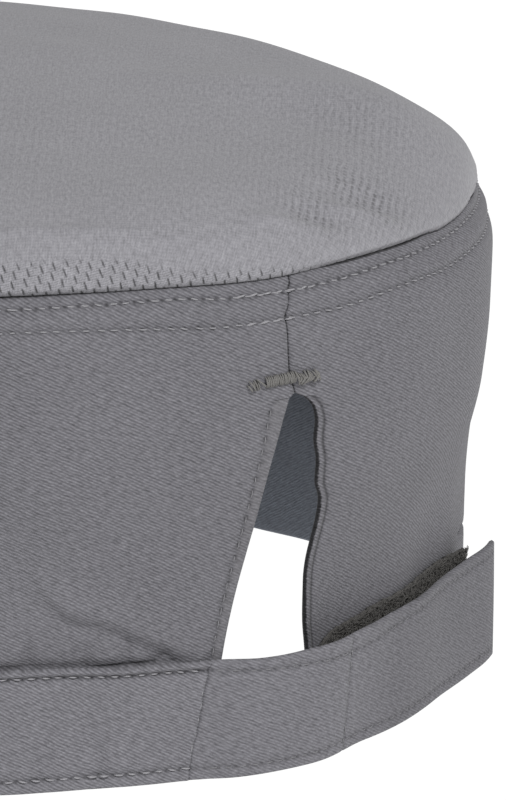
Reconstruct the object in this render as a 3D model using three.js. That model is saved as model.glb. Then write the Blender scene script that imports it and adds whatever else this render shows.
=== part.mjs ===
// A chef's skull cap: a puffed knitted crown on a twill side wall, with a slit at the back
// that a strap with a hook-and-loop fastening draws together.
// Units are millimetres, +Z is up, the forehead is towards -Y and the slit towards +Y.
// Angles are degrees round the head from the back, positive towards +X.
import * as THREE from 'three';

// Driving dimensions of the whole cap.
const halfWidth = 83.2;        // centre to the wall's outer face at the ear
const halfLength = 97.7;       // centre to the wall's outer face at the forehead and the back
const wallHeight = 83.7;       // rim to the seam under the crown
const wallFlare = 4.7;         // how far the wall bulges out above the rim
const crownPuff = 9.5;         // rise of the crown just inside its seam
const crownDome = 8;           // further rise from there to the middle
const puffWidth = 28;          // from the seam in to where the puff levels out

// Cloth and tapes.
const twill = 1.2;             // side wall
const knit = 1.2;              // crown
const lining = 1.0;            // sweatband
const bandCloth = 1.1;         // folded hem band and strap
const hemCloth = 1.0;          // turned hems of the slit
const loopPile = 1.1;
const hookTape = 1.0;
const clearance = 0.3;         // between pieces that touch

// Band, strap, slit and their trim.
const bandHeight = 20.5;
const sweatHeight = 36;
const seamAllowance = 8;       // crown cloth turned down inside the wall
const seamGap = 0.3;           // between the two ends of the wall at the back seam
const slitHeight = 64.3;
const slitWidth = 24;          // at the rim, measured along the wall
const slitHem = 6.5;           // width of the turned hems
const strapInset = 3.0;        // from the slit's left edge to where the strap starts
const tailReach = 72.8;        // along the rim, from the back seam to the end of the strap
const loopStart = 10;          // along the rim from the back seam
const loopEnd = 70.5;
const bandStart = 98;           // on the tape's side the band begins beyond the tape
const loopHeight = 19.5;
const loopBottom = 1.8;
const hookStart = 14.8;
const hookMargin = 2.4;        // the hook tape stays this far inside the tail's edges
const tackLeft = 7.0;          // the bar tack's reach to each side of the back seam
const tackRight = 3.6;
const tackHeight = 2.3;
const tackRise = 1.8;          // above the top of the slit
const tackCloth = 1.0;

// The oval's departure from a true ellipse, as a share of the radius, at the rim and the seam,
// and the crown's puff there. The drawn strap flattens the rim beside the slit.
const plan = [
  { at: -180, rim: 1.000, seam: 1.000, puff: 1.00 },
  { at: -130, rim: 1.000, seam: 1.002, puff: 0.95 },
  { at: -100, rim: 1.006, seam: 1.010, puff: 0.86 },
  { at: -76, rim: 1.016, seam: 1.020, puff: 0.80 },
  { at: -58, rim: 1.022, seam: 1.024, puff: 0.96 },
  { at: -46, rim: 0.997, seam: 1.014, puff: 1.35 },
  { at: -30, rim: 0.965, seam: 1.014, puff: 1.00 },
  { at: -14, rim: 0.967, seam: 1.020, puff: 0.95 },
  { at: -3, rim: 0.988, seam: 1.014, puff: 0.95 },
  { at: 6, rim: 0.998, seam: 1.005, puff: 1.00 },
  { at: 14, rim: 0.994, seam: 1.002, puff: 1.00 },
  { at: 23, rim: 0.992, seam: 1.012, puff: 1.00 },
  { at: 34, rim: 1.010, seam: 1.032, puff: 1.00 },
  { at: 52, rim: 1.014, seam: 1.028, puff: 1.00 },
  { at: 84, rim: 1.006, seam: 1.010, puff: 1.00 },
  { at: 120, rim: 1.000, seam: 1.000, puff: 1.00 },
];

// The wall's bulge: its height as a share of the wall, its depth as a share of the flare.
const bulge = [
  { up: 0.00, out: 0.00 },
  { up: 0.25, out: 0.00 },
  { up: 0.34, out: 0.05 },
  { up: 0.45, out: 0.22 },
  { up: 0.62, out: 0.72 },
  { up: 0.77, out: 0.97 },
  { up: 0.86, out: 1.00 },
  { up: 0.94, out: 0.76 },
  { up: 1.00, out: 0.42 },
];

// The slit's two edges: heights as shares of its height, and how far each edge lies
// from the back seam as shares of its width.
const slit = [
  { up: 0.00, left: 0.560, right: 0.460 },
  { up: 0.32, left: 0.398, right: 0.405 },
  { up: 0.48, left: 0.312, right: 0.375 },
  { up: 0.64, left: 0.222, right: 0.300 },
  { up: 0.79, left: 0.155, right: 0.240 },
  { up: 0.92, left: 0.075, right: 0.180 },
  { up: 1.00, left: 0.015, right: 0.060 },
];

// The strap's way from its seam to its tail end: how far it stands off the wall at its lower
// and upper edge, from 0, in the band's layer, to 1, on top of the two tapes.
const strapLift = [
  { along: 0.00, low: 0.00, high: 0.00 },
  { along: 0.09, low: 0.67, high: 1.35 },
  { along: 0.17, low: 1.03, high: 1.86 },
  { along: 0.28, low: 1.37, high: 2.00 },
  { along: 0.41, low: 1.05, high: 1.55 },
  { along: 0.57, low: 1.02, high: 1.30 },
  { along: 0.71, low: 1.08, high: 1.24 },
  { along: 0.87, low: 1.38, high: 1.40 },
  { along: 1.00, low: 1.85, high: 1.95 },
];

// Soft dents and ridges of the crown: place, depth as a share of the puff, and reach
// across the head as shares of the half width and half length.
const dents = [
  { at: -21, out: 0.72, deep: 0.16, wide: 0.16, long: 0.16 },
  { at: -48, out: 0.74, deep: 0.12, wide: 0.12, long: 0.20 },
  { at: 10, out: 0.62, deep: 0.08, wide: 0.30, long: 0.10 },
  { at: -80, out: 0.20, deep: -0.07, wide: 0.34, long: 0.10 },
  { at: 60, out: 0.45, deep: 0.06, wide: 0.16, long: 0.30 },
];

const colours = {
  knit: 0x939297,
  twill: 0x76757a,
  lining: 0x4e5156,
  tape: 0x46443f,
  thread: 0x6f6d6e,
};

const fullTurn = 360;
const radians = THREE.MathUtils.degToRad;

// A smooth curve through one column of a table, flat where the column turns round.
function along(table, key, column, place) {
  const last = table.length - 1;
  if (place <= table[0][key]) return table[0][column];
  if (place >= table[last][key]) return table[last][column];
  const slope = (i) => {
    if (i <= 0 || i >= last) return 0;
    const before = (table[i][column] - table[i - 1][column]) / (table[i][key] - table[i - 1][key]);
    const after = (table[i + 1][column] - table[i][column]) / (table[i + 1][key] - table[i][key]);
    return before * after <= 0 ? 0 : 2 * before * after / (before + after);
  };
  const i = table.findIndex((row, index) => index < last && place < table[index + 1][key]);
  const span = table[i + 1][key] - table[i][key];
  const s = (place - table[i][key]) / span;
  const s2 = s * s;
  const s3 = s2 * s;
  return (2 * s3 - 3 * s2 + 1) * table[i][column] + (s3 - 2 * s2 + s) * span * slope(i)
    + (3 * s2 - 2 * s3) * table[i + 1][column] + (s3 - s2) * span * slope(i + 1);
}

const planLoop = [...plan, { ...plan[0], at: plan[0].at + fullTurn }];

function planShare(angle, column) {
  const turned = THREE.MathUtils.euclideanModulo(angle - plan[0].at, fullTurn) + plan[0].at;
  return along(planLoop, 'at', column, turned);
}

// The angle that lies a length away from the back seam, walked along the rim's ellipse.
function angleAt(length) {
  const steps = 60;
  let angle = 0;
  for (let i = 0; i < steps; i += 1) {
    const stride = Math.hypot(halfWidth * Math.cos(angle), halfLength * Math.sin(angle));
    angle += length / steps / stride;
  }
  return THREE.MathUtils.radToDeg(angle);
}

// The seam's share of the plan takes over from the rim's between these shares of the wall.
const rimEnds = 0.25;
const seamStarts = 0.62;

// A point at a height on the wall, so far out from the wall's outer face (in when negative).
function wallPoint(angle, height, out) {
  const up = height / wallHeight;
  const mix = THREE.MathUtils.smoothstep(up, rimEnds, seamStarts);
  const share = THREE.MathUtils.lerp(planShare(angle, 'rim'), planShare(angle, 'seam'), mix);
  const sine = Math.sin(radians(angle));
  const cosine = Math.cos(radians(angle));
  const normal = new THREE.Vector2(sine / halfWidth, cosine / halfLength).normalize();
  const reach = wallFlare * along(bulge, 'up', 'out', up) + out;
  return new THREE.Vector3(
    halfWidth * share * sine + normal.x * reach,
    halfLength * share * cosine + normal.y * reach,
    height,
  );
}

function namedMesh(name, colour, roughness, points, faces) {
  const geometry = new THREE.BufferGeometry();
  geometry.setAttribute('position', new THREE.Float32BufferAttribute(points.flatMap((p) => p.toArray()), 3));
  geometry.setIndex(faces);
  geometry.computeVertexNormals();
  const material = new THREE.MeshStandardMaterial({ color: colour, roughness, metalness: 0 });
  const mesh = new THREE.Mesh(geometry, material);
  mesh.name = name;
  return mesh;
}

// A strip of cloth with two ends. place(i, j) gives its outer and inner point.
function strip(name, colour, columns, rows, place) {
  const points = [];
  const faces = [];
  const loop = 2 * (rows + 1);
  const quad = (a, b, c, d) => faces.push(a, b, c, a, c, d);
  for (let i = 0; i <= columns; i += 1) {
    const section = Array.from({ length: rows + 1 }, (_, j) => place(i, j));
    points.push(...section.map((pair) => pair.outer), ...section.reverse().map((pair) => pair.inner));
  }
  for (let i = 0; i < columns; i += 1) {
    for (let k = 0; k < loop; k += 1) {
      const next = (k + 1) % loop;
      quad(i * loop + k, i * loop + next, (i + 1) * loop + next, (i + 1) * loop + k);
    }
  }
  const end = columns * loop;
  for (let j = 0; j < rows; j += 1) {
    const inner = loop - 1 - j;
    quad(j, inner, inner - 1, j + 1);
    quad(end + j, end + j + 1, end + inner - 1, end + inner);
  }
  return namedMesh(name, colour, 0.9, points, faces);
}

// Cloth that lies along the wall: from and to give its ends (length from the back seam) at each
// height, and faces gives its outer and inner distance from the wall's outer face.
function wallCloth(name, colour, { from, to, heights, columns, faces }) {
  return strip(name, colour, columns, heights.length - 1, (i, j) => {
    const height = heights[j];
    const share = i / columns;
    const angle = THREE.MathUtils.lerp(from(height), to(height), share);
    const { outer, inner } = faces(share, height);
    return { outer: wallPoint(angle, height, outer), inner: wallPoint(angle, height, inner) };
  });
}

const steps = (low, high, count) => Array.from({ length: count + 1 }, (_, i) => low + (high - low) * i / count);

// The slit's edges as lengths from the back seam; above it the wall's two ends meet.
function slitEdge(side, height) {
  if (height > slitHeight) return seamGap / 2;
  return Math.max(seamGap / 2, slitWidth * along(slit, 'up', side, height / slitHeight));
}
const leftAngle = (height, inset = 0) => angleAt(slitEdge('left', height) + inset);
const rightAngle = (height, inset = 0) => -angleAt(slitEdge('right', height) + inset);

const closeUp = 0.5;           // above the slit, where the wall's two ends come together
const lowHeights = [...steps(0, bandHeight, 2), ...steps(bandHeight, sweatHeight, 2).slice(1)];
const wallHeights = [
  ...lowHeights,
  ...steps(sweatHeight, slitHeight, 4).slice(1),
  slitHeight + closeUp,
  ...steps(slitHeight + closeUp, wallHeight, 4).slice(1),
];
const wallColumns = 76;

function sideWall() {
  return wallCloth('side_wall', colours.twill, {
    from: (height) => leftAngle(height),
    to: (height) => fullTurn + rightAngle(height),
    heights: wallHeights,
    columns: wallColumns,
    faces: () => ({ outer: 0, inner: -twill }),
  });
}

function sweatBand() {
  const inset = slitHem + clearance;
  const outer = -(twill + clearance);
  return wallCloth('sweatband', colours.lining, {
    from: (height) => leftAngle(height, inset),
    to: (height) => fullTurn + rightAngle(height, inset),
    heights: lowHeights,
    columns: wallColumns,
    faces: () => ({ outer, inner: outer - lining }),
  });
}

function hemBand() {
  return wallCloth('hem_band', colours.twill, {
    from: (height) => leftAngle(height, strapInset + clearance),
    to: () => fullTurn - angleAt(bandStart),
    heights: steps(0, bandHeight, 2),
    columns: wallColumns,
    faces: () => ({ outer: clearance + bandCloth, inner: clearance }),
  });
}

function slitHems() {
  const outer = -(twill + clearance);
  const heights = [...lowHeights, ...steps(sweatHeight, slitHeight, 4).slice(1)];
  const shared = { heights, columns: 2, faces: () => ({ outer, inner: outer - hemCloth }) };
  return [
    wallCloth('slit_hem_left', colours.twill, {
      ...shared,
      from: (height) => leftAngle(height),
      to: (height) => leftAngle(height, slitHem),
    }),
    wallCloth('slit_hem_right', colours.twill, {
      ...shared,
      from: (height) => rightAngle(height, slitHem),
      to: (height) => rightAngle(height),
    }),
  ];
}

// What lies between the wall and the strap, and the strap's inner face above it.
const loopTop = clearance + loopPile;
const stackTop = loopTop + clearance + hookTape + clearance;
const tailAngle = -angleAt(tailReach);

function strapInner(share, height) {
  const low = along(strapLift, 'along', 'low', share);
  const high = along(strapLift, 'along', 'high', share);
  return clearance + (stackTop - clearance) * THREE.MathUtils.lerp(low, high, height / bandHeight);
}

function adjustStrap() {
  return wallCloth('adjust_strap', colours.twill, {
    from: () => tailAngle,
    to: (height) => leftAngle(height, strapInset),
    heights: steps(0, bandHeight, 2),
    columns: 30,
    faces: (share, height) => {
      const inner = strapInner(1 - share, height);
      return { outer: inner + bandCloth, inner };
    },
  });
}

function loopStrip() {
  return wallCloth('loop_tape', colours.tape, {
    from: () => -angleAt(loopEnd),
    to: () => -angleAt(loopStart),
    heights: steps(loopBottom, loopBottom + loopHeight, 2),
    columns: 16,
    faces: () => ({ outer: loopTop, inner: clearance }),
  });
}

function hookStrip() {
  const from = -angleAt(tailReach - hookMargin);
  const to = -angleAt(hookStart);
  return wallCloth('hook_tape', colours.tape, {
    from: () => from,
    to: () => to,
    heights: steps(hookMargin, bandHeight - hookMargin, 1),
    columns: 14,
    faces: (share, height) => {
      const angle = THREE.MathUtils.lerp(from, to, share);
      const strapStart = leftAngle(height, strapInset);
      const outer = strapInner((strapStart - angle) / (strapStart - tailAngle), height) - clearance;
      return { outer, inner: outer - hookTape };
    },
  });
}

function barTack() {
  const bottom = slitHeight + tackRise;
  return wallCloth('bar_tack', colours.thread, {
    from: () => -angleAt(tackRight),
    to: () => angleAt(tackLeft),
    heights: steps(bottom, bottom + tackHeight, 2),
    columns: 4,
    faces: () => ({ outer: clearance + tackCloth, inner: clearance }),
  });
}

// The crown's height above its seam, at a share of the way out from the middle.
const puffShare = puffWidth / halfLength;
const puffRoundness = 1.95;
const evenOut = 0.25;          // inside this share of the radius the puff is even all round
const fullOut = 0.80;          // and beyond this one it follows the plan

function crownRise(angle, out, shrink) {
  const local = THREE.MathUtils.smoothstep(out, evenOut, fullOut);
  const puff = (crownPuff - shrink) * THREE.MathUtils.lerp(1, planShare(angle, 'puff'), local);
  const edge = Math.max(0, (out - (1 - puffShare)) / puffShare);
  const x = out * Math.sin(radians(angle));
  const y = out * Math.cos(radians(angle));
  const dent = dents.reduce((sum, row) => {
    const across = (x - row.out * Math.sin(radians(row.at))) / row.wide;
    const lengthwise = (y - row.out * Math.cos(radians(row.at))) / row.long;
    return sum + row.deep * crownPuff * Math.exp(-across * across - lengthwise * lengthwise);
  }, 0);
  const rolled = Math.pow(Math.max(0, 1 - Math.pow(edge, puffRoundness)), 1 / puffRoundness);
  return puff * rolled + crownDome * (1 - out * out) - dent * rolled;
}

// The crown is a dome of one cloth, with its edge turned down inside the wall.
function crownTop() {
  const columns = 72;
  const seamHeight = wallHeight + clearance;
  const edgeSteps = 7;
  const flatSteps = 6;
  const outs = [
    ...steps(0, 1 - puffShare, flatSteps).slice(1),
    ...steps(0, 1, edgeSteps).slice(1).map((s) => 1 - puffShare * (1 - Math.sin(s * Math.PI / 2))),
  ];
  const centreRise = crownRise(0, 0, 0);
  const shellPoint = (angle, out, inset) => {
    const edge = wallPoint(angle, wallHeight, -inset);
    const rise = crownRise(angle, out, inset);
    return new THREE.Vector3(edge.x * out, edge.y * out, seamHeight + rise);
  };
  const flange = -(twill + clearance);
  const turned = [
    { out: flange, height: seamHeight },
    { out: flange, height: wallHeight - seamAllowance },
    { out: flange - knit, height: wallHeight - seamAllowance },
    { out: flange - knit, height: seamHeight + knit },
  ];
  const innerOuts = [...outs].reverse().slice(1);
  const rings = [
    ...outs.map((out) => (angle) => shellPoint(angle, out, 0)),
    ...turned.map((row) => (angle) => {
      const point = wallPoint(angle, wallHeight, row.out);
      return point.setZ(row.height);
    }),
    ...innerOuts.map((out) => (angle) => shellPoint(angle, out, knit)),
  ];
  const points = [new THREE.Vector3(0, 0, seamHeight + centreRise)];
  rings.forEach((ring) => {
    for (let i = 0; i < columns; i += 1) points.push(ring(i * fullTurn / columns));
  });
  points.push(new THREE.Vector3(0, 0, seamHeight + centreRise - knit));
  const faces = [];
  const corner = (ring, i) => 1 + ring * columns + (i % columns);
  for (let i = 0; i < columns; i += 1) {
    faces.push(0, corner(0, i + 1), corner(0, i));
    for (let k = 0; k < rings.length - 1; k += 1) {
      faces.push(corner(k, i), corner(k, i + 1), corner(k + 1, i + 1));
      faces.push(corner(k, i), corner(k + 1, i + 1), corner(k + 1, i));
    }
    faces.push(corner(rings.length - 1, i), corner(rings.length - 1, i + 1), points.length - 1);
  }
  return namedMesh('crown_top', colours.knit, 0.95, points, faces);
}

const cap = new THREE.Group();
cap.add(
  crownTop(),
  sideWall(),
  sweatBand(),
  hemBand(),
  adjustStrap(),
  loopStrip(),
  hookStrip(),
  ...slitHems(),
  barTack(),
);

// The origin is the middle of the whole cap's box, on the surface that the rim rests on.
const box = new THREE.Box3().setFromObject(cap);
const middle = box.getCenter(new THREE.Vector3());
cap.position.set(-middle.x, -middle.y, -box.min.z);
const skullCap = new THREE.Group();
skullCap.add(cap);

export default skullCap;
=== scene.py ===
# A chef's skull cap in grey twill with a knitted mesh crown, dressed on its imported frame.
# Lengths are millimetres until a mesh is made. Places on the wall are given as (along, height, out):
# along the rim from the back seam, positive towards +X, up from the rim, and out from the wall's face.
import bpy
import numpy as np
from mathutils import Matrix, Vector


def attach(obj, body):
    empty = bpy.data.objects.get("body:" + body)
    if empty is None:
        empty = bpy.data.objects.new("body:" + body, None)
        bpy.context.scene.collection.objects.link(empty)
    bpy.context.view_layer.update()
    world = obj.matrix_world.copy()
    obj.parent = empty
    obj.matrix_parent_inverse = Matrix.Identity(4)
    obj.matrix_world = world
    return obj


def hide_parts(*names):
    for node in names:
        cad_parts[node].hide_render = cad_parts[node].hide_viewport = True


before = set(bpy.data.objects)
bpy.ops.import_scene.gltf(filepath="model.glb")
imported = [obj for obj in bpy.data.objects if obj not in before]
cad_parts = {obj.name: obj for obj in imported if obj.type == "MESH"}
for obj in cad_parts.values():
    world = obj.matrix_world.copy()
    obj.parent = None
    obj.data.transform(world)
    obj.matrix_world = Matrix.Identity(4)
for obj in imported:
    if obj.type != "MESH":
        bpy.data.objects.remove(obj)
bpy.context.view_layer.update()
scene = bpy.context.scene

MM = 0.001
MIDDLE = np.array([0.2763, -1.2547, 0.0])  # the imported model's shift to its own middle

# Camera, fitted to the photograph.
CAMERA_AT = np.array([748.1, 1126.8, 401.4])
CAMERA_AIM = np.array([-0.566, -0.7831, -0.2577])
CAMERA_LENS = 364.5
aim = CAMERA_AIM / np.linalg.norm(CAMERA_AIM)
right = np.cross(aim, [0, 0, 1])
right /= np.linalg.norm(right)
above = np.cross(right, aim)
lens = bpy.data.cameras.new("camera")
lens.lens, lens.sensor_width, lens.clip_start, lens.clip_end = CAMERA_LENS, 36, 0.01, 20
camera = bpy.data.objects.new("camera", lens)
turn = Matrix([right, above, -aim]).transposed().to_4x4()
camera.matrix_world = Matrix.Translation(Vector((CAMERA_AT + MIDDLE) * MM)) @ turn
scene.collection.objects.link(camera)
scene.camera = camera

# The whole cap.
HALF_WIDTH, HALF_LENGTH, WALL_HEIGHT, WALL_FLARE = 83.2, 97.7, 83.7, 4.7
CROWN_PUFF, CROWN_DOME, PUFF_WIDTH = 9.5, 8.0, 28.0
TWILL, KNIT, LINING, BAND_CLOTH, HEM_CLOTH = 1.2, 1.2, 1.0, 1.1, 1.0
LOOP_PILE, HOOK_TAPE, CLEARANCE = 1.1, 1.0, 0.3
BAND_HEIGHT, SWEAT_HEIGHT, SEAM_ALLOWANCE = 20.5, 36.0, 8.0
SLIT_HEIGHT, SLIT_HEM, STRAP_INSET = 64.3, 6.5, 3.0
TAIL_REACH, LOOP_START, LOOP_END, BAND_START = 72.8, 10.0, 70.5, 98.0
LOOP_HEIGHT, LOOP_BOTTOM, HOOK_START, HOOK_MARGIN = 19.5, 1.8, 14.8, 2.4
HEM_INSET = 1.4  # the right hem has slipped back behind its edge
TUCK = 1.6  # how far the strap goes in under the band's end
TACK_RISE = 1.8  # from the top of the slit to the bar tack
SEAM_GAP = 0.15  # between the wall's two ends at the back seam

# Tables by angle from the back seam, in degrees, positive towards +X.
PLAN = [  # angle, share of the oval at the rim and at the seam, puff
    (-180, 1, 1, 1), (-130, 1, 1.002, .95), (-100, 1.006, 1.01, .86),
    (-76, 1.016, 1.02, .8), (-58, 1.022, 1.024, .96), (-46, .997, 1.014, 1.35),
    (-30, .965, 1.014, 1), (-14, .967, 1.02, .95), (-3, .988, 1.014, .95),
    (6, .998, 1.005, 1), (14, .994, 1.002, 1), (23, .992, 1.012, 1),
    (34, 1.01, 1.032, 1), (52, 1.014, 1.028, 1), (84, 1.006, 1.01, 1),
    (120, 1, 1, 1), (180, 1, 1, 1)]
BULGE = [  # share of the wall's height, share of its flare
    (0, 0), (.25, 0), (.34, .05), (.45, .22), (.62, .72), (.77, .97), (.86, 1), (.94, .76), (1, .42)]
SLIT_LEFT = [  # share of the slit's height, distance from the back seam
    (0, 13.4), (.32, 9.55), (.48, 7.5), (.64, 5.3), (.79, 3.7), (.87, 2.6), (.95, 1.5), (1, .75)]
SLIT_RIGHT = [
    (0, 11.0), (.28, 8.5), (.353, 7.8), (.496, 6.5), (.60, 6.75), (.65, 6.7), (.70, 6.5), (.75, 5.25),
    (.81, 4.85), (.871, 4.0), (.913, 4.2), (.955, 3.6), (.985, 2.1), (1, .9)]
RIM_LIFT = [  # angle, how far the rim lifts
    (-180, 0), (-128, 0), (-101, .42), (-92, 1.1), (-84, 1.3), (-66, .3), (-52, 0), (180, 0)]
RIM_OUT = [  # angle, how far the rim eases out
    (-180, 0), (8, 0), (34, 1.1), (60, .9), (100, 0), (180, 0)]
SEAM_LIFT = [  # angle, how far the seam rises
    (-180, 0), (-120, 0), (-90, -.4), (-62, -1.2), (-52, -1.3), (-36, -.1), (-28, -.15), (-20, .05),
    (-14, .2), (-7, 0), (180, 0)]
LIP_DROP = [  # angle, how far the crown's lip hangs over the wall
    (-180, -.3), (-90, -.5), (-52, -.1), (-42, -.2), (-35, -.45), (-28, -.45), (-22, -.1), (-11, 0),
    (-4, -.3), (4, -.6), (11, -.4), (21, -.25), (31, -.1), (150, -.1), (180, -.1)]
WAVES = [  # size, waves round the cap, phase, height for one radian: the wall's soft unevenness
    (.26, 5, .8, 33), (.20, 8, -1.7, -21), (.15, 13, .4, 15), (.10, 21, 2.2, -12)]

# Tables by length along the rim from the back seam.
FOLD = [  # along, height of the fold that runs down to the band
    (15, 19.5), (18.5, 20.9), (25.6, 24.6), (30.5, 26.9), (35.5, 28.2), (38.8, 30.7), (44, 35)]
WALL_PUCKERS = [  # along, slant, reach, up, reach up, rise
    (33.5, 0, 1.1, 22.6, 2.4, -.85), (26.2, 0, 1.0, 22.3, 2.4, -.85), (19.5, 0, .8, 21.8, 2.4, -.85),
    (43.0, 0, 1.2, 22.8, 2.4, -.85), (15.3, 0, .9, 78.6, 1.6, -.75)]
BAND_PUCKERS = [
    (32.42, .22, 2.0, 6, 6.5, -1.0), (41.5, 0, 1.6, 4.5, 3, -.6), (37.6, 0, 2.2, 7, 5, .5)]
STRAP_PUCKERS = [  # along is counted from where the strap comes out
    (-2.6, 0, 1.9, 7.5, 4.5, -.7), (-6.5, 0, 2.4, 9.5, 6, .25)]
BAND_TOP = [  # along, height of the band's upper edge
    (-80, 20.5), (0, 20.5), (13, 20.0), (25, 20.3), (46, 21.0), (80, 20.7), (300, 20.6)]
TAPE_TOP = [  # along, height of the loop tape's upper edge
    (10, 17.2), (12, 18.9), (17, 20.3), (30, 21.2), (55, 21.1), (63, 20.7), (70.5, 19.9)]
STRAP_LIFT = [  # share of the way to the tail, lift at the lower and the upper edge
    (0, 0, 0), (.09, .67, 1.35), (.17, 1.03, 1.86), (.28, 1.37, 2.00), (.41, 1.05, 1.55),
    (.57, 1.02, 1.30), (.71, 1.08, 1.24), (.87, 1.38, 1.40), (1, 1.85, 1.95)]
DENTS = [  # angle, share out, depth, reach across and along
    (-18, .94, .30, .085, .040), (-7.5, .94, .24, .065, .034), (-35, .76, .14, .12, .10),
    (10, .62, .07, .30, .10), (-80, .20, -.07, .34, .10), (60, .45, .06, .16, .30)]
MESH_PATCHES = [  # angle, share out, strength, reach: where the mesh shows on the top
    (-18, .92, .36, .085), (-7.5, .93, .30, .065), (-30, .80, .13, .10), (-14, .72, .08, .12),
    (-40, .82, .10, .10), (20, .50, .07, .22)]
ROUNDNESS = [  # angle, how squarely the crown's puff turns down
    (-180, 2.6), (-60, 1.95), (-25, 1.95), (-8, 2.4), (4, 3.4), (13, 4.4), (80, 4.4), (180, 2.6)]
SLOTS_SHOW = [  # angle, how open the mesh's slots are where it turns down
    (-180, .8), (-120, .5), (-30, .2), (-8, .3), (-2, .7), (4, .95), (15, 1), (150, 1), (180, .8)]
SLOT_REACH = [  # angle, how far up from the seam they show
    (-180, 6.5), (-60, 1.2), (-10, .8), (-3, 1.4), (0, 1.9), (4, 2.4), (10, 2.9), (13, 3.6), (18, 5.5),
    (24, 6.8), (33, 7.9), (60, 8.0), (150, 8.0), (180, 6.5)]
CREASE = [  # angle, how deep the seam between wall and crown is drawn in, and how strong its painted shade is
    (-180, .5), (-52, 0), (-40, .1), (-34, .5), (-26, .6), (-20, .15), (-8, .1), (-3, .35), (2, .5),
    (180, .5)]
RIDGES = [  # from and to, across and along as shares of the plan; height; reach
    ((.03, .952), (-.114, .978), 2.2, .017), ((-.150, .912), (-.30, .938), 2.2, .018),
    ((.50, .803), (.40, .868), 1.1, .014), ((.40, .868), (.262, .944), 1.1, .014)]
SEAM_LINE = [  # height, how far the back seam strays to the left
    (64.3, 0), (66, .3), (68, .9), (73.4, 1.15), (77, 1.05), (79, .4), (81, -.3), (82.6, -.8), (84, -1.0)]
RIM_ENDS, SEAM_STARTS = .25, .62  # shares of the wall's height between the two plans
TOP_SHOW = .035  # how much of the mesh shows all over the top
PUFF_SHARE, EVEN_OUT, FULL_OUT = PUFF_WIDTH / HALF_LENGTH, .25, .80

# Stitch rows.
ROW_TOP = [  # along, height
    (-60, 81.9), (-22, 81.8), (-9, 81.4), (0, 81.1), (9, 81.1), (20, 81.8), (32, 81.9), (46, 81.9),
    (90, 81.9)]
ROW_LOW = [
    (-60, 77.6), (-37, 77.5), (-28, 77.9), (-20, 77.7), (-8, 77.1), (1.5, 77.0), (11, 76.8), (21, 77.4),
    (32, 78.0), (46, 78.4), (90, 77.8)]
STRAP_ROW_TOP = [(-72.8, 18.7), (-64.4, 18.7), (-44.6, 18.8), (-26, 17.9), (-18, 17.4), (16, 18.9)]
SLIT_ROW = [(0, 2.1), (35, 2.1), (55, 2.3), (64, 2.9)]  # height, distance from the slit's left edge
ROW_BAND_TOP, ROW_BAND_LOW, ROW_STRAP_LOW, ROW_SWEAT = 19.1, 2.2, 2.0, 34.3
BAND_RELIEF = [  # height, reach, rise: the band's edges and sunk rows
    (19.95, .55, .66), (ROW_BAND_TOP, .45, -.42), (17.4, 1.1, .10), (ROW_BAND_LOW, .5, -.42),
    (.95, .75, .30), (3.6, 1.0, .10)]
PITCH = 2.25  # one stitch with its gap
INSIDE = -(TWILL + CLEARANCE)  # where the pieces inside the wall begin

rng = np.random.default_rng(20)


def heading(angle):
    """The sine and cosine of an angle in degrees."""
    return np.sin(np.radians(angle)), np.cos(np.radians(angle))


def curve(rows, column, at):
    """A smooth curve through one column of a table, flat where the column turns round."""
    rows = np.asarray(rows, float)
    x, y = rows[:, 0], rows[:, column]
    step = np.diff(y) / np.diff(x)
    slope = np.zeros(len(x))
    both = step[:-1] * step[1:] > 0
    with np.errstate(divide="ignore", invalid="ignore"):
        mean = 2 * step[:-1] * step[1:] / (step[:-1] + step[1:])
    slope[1:-1] = np.where(both, mean, 0)
    at = np.clip(np.asarray(at, float), x[0], x[-1])
    i = np.clip(np.searchsorted(x, at, side="right") - 1, 0, len(x) - 2)
    span = x[i + 1] - x[i]
    s = (at - x[i]) / span
    s2, s3 = s * s, s * s * s
    return ((2 * s3 - 3 * s2 + 1) * y[i] + (s3 - 2 * s2 + s) * span * slope[i]
            + (3 * s2 - 2 * s3) * y[i + 1] + (s3 - s2) * span * slope[i + 1])


def smooth(x, low, high):
    """From 0 at low to 1 at high, level at both."""
    s = np.clip((x - low) / (high - low), 0, 1)
    return s * s * (3 - 2 * s)


def bump(distance, width):
    """1 at no distance, and nearly 0 from twice the width on."""
    return np.exp(-(distance / width) ** 2)


def walk(length, steps=60):
    """The angle that lies a length from the back seam."""
    angle = np.zeros_like(length)
    for _ in range(steps):
        angle += length / steps / np.hypot(HALF_WIDTH * np.cos(angle), HALF_LENGTH * np.sin(angle))
    return np.degrees(angle)


lengths = np.linspace(-300, 300, 2401)
angles = walk(lengths)
HALF_ROUND = float(np.interp(180, angles, lengths))
ROUND = 2 * HALF_ROUND  # all the way round


def from_back(along):
    """The same place along the rim, between minus and plus half the way round."""
    return (along + HALF_ROUND) % ROUND - HALF_ROUND


def angle_of(along):
    return np.interp(from_back(along), lengths, angles)


def half_turn(angle):
    """The same angle, between -180 and 180."""
    return (angle + 180) % 360 - 180


def plan_curve(table, angle, column=1):
    return curve(table, column, half_turn(angle))


def unease(angle, height):
    """The soft waves that every layer of the wall shares."""
    a = np.radians(angle)
    wave = sum(size * np.sin(count * a + phase + height / tall) for size, count, phase, tall in WAVES)
    drawn = .16 * np.sin(34 * a + 3 * np.sin(5 * a)) * bump(height - BAND_HEIGHT - 2, 9)
    return (wave * (1 - .75 * smooth(height, 66, 83)) * (.45 + .55 * smooth(height, 4, 30)) + drawn
            + plan_curve(RIM_OUT, angle) * (1 - smooth(height, 12, 45)))


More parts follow.
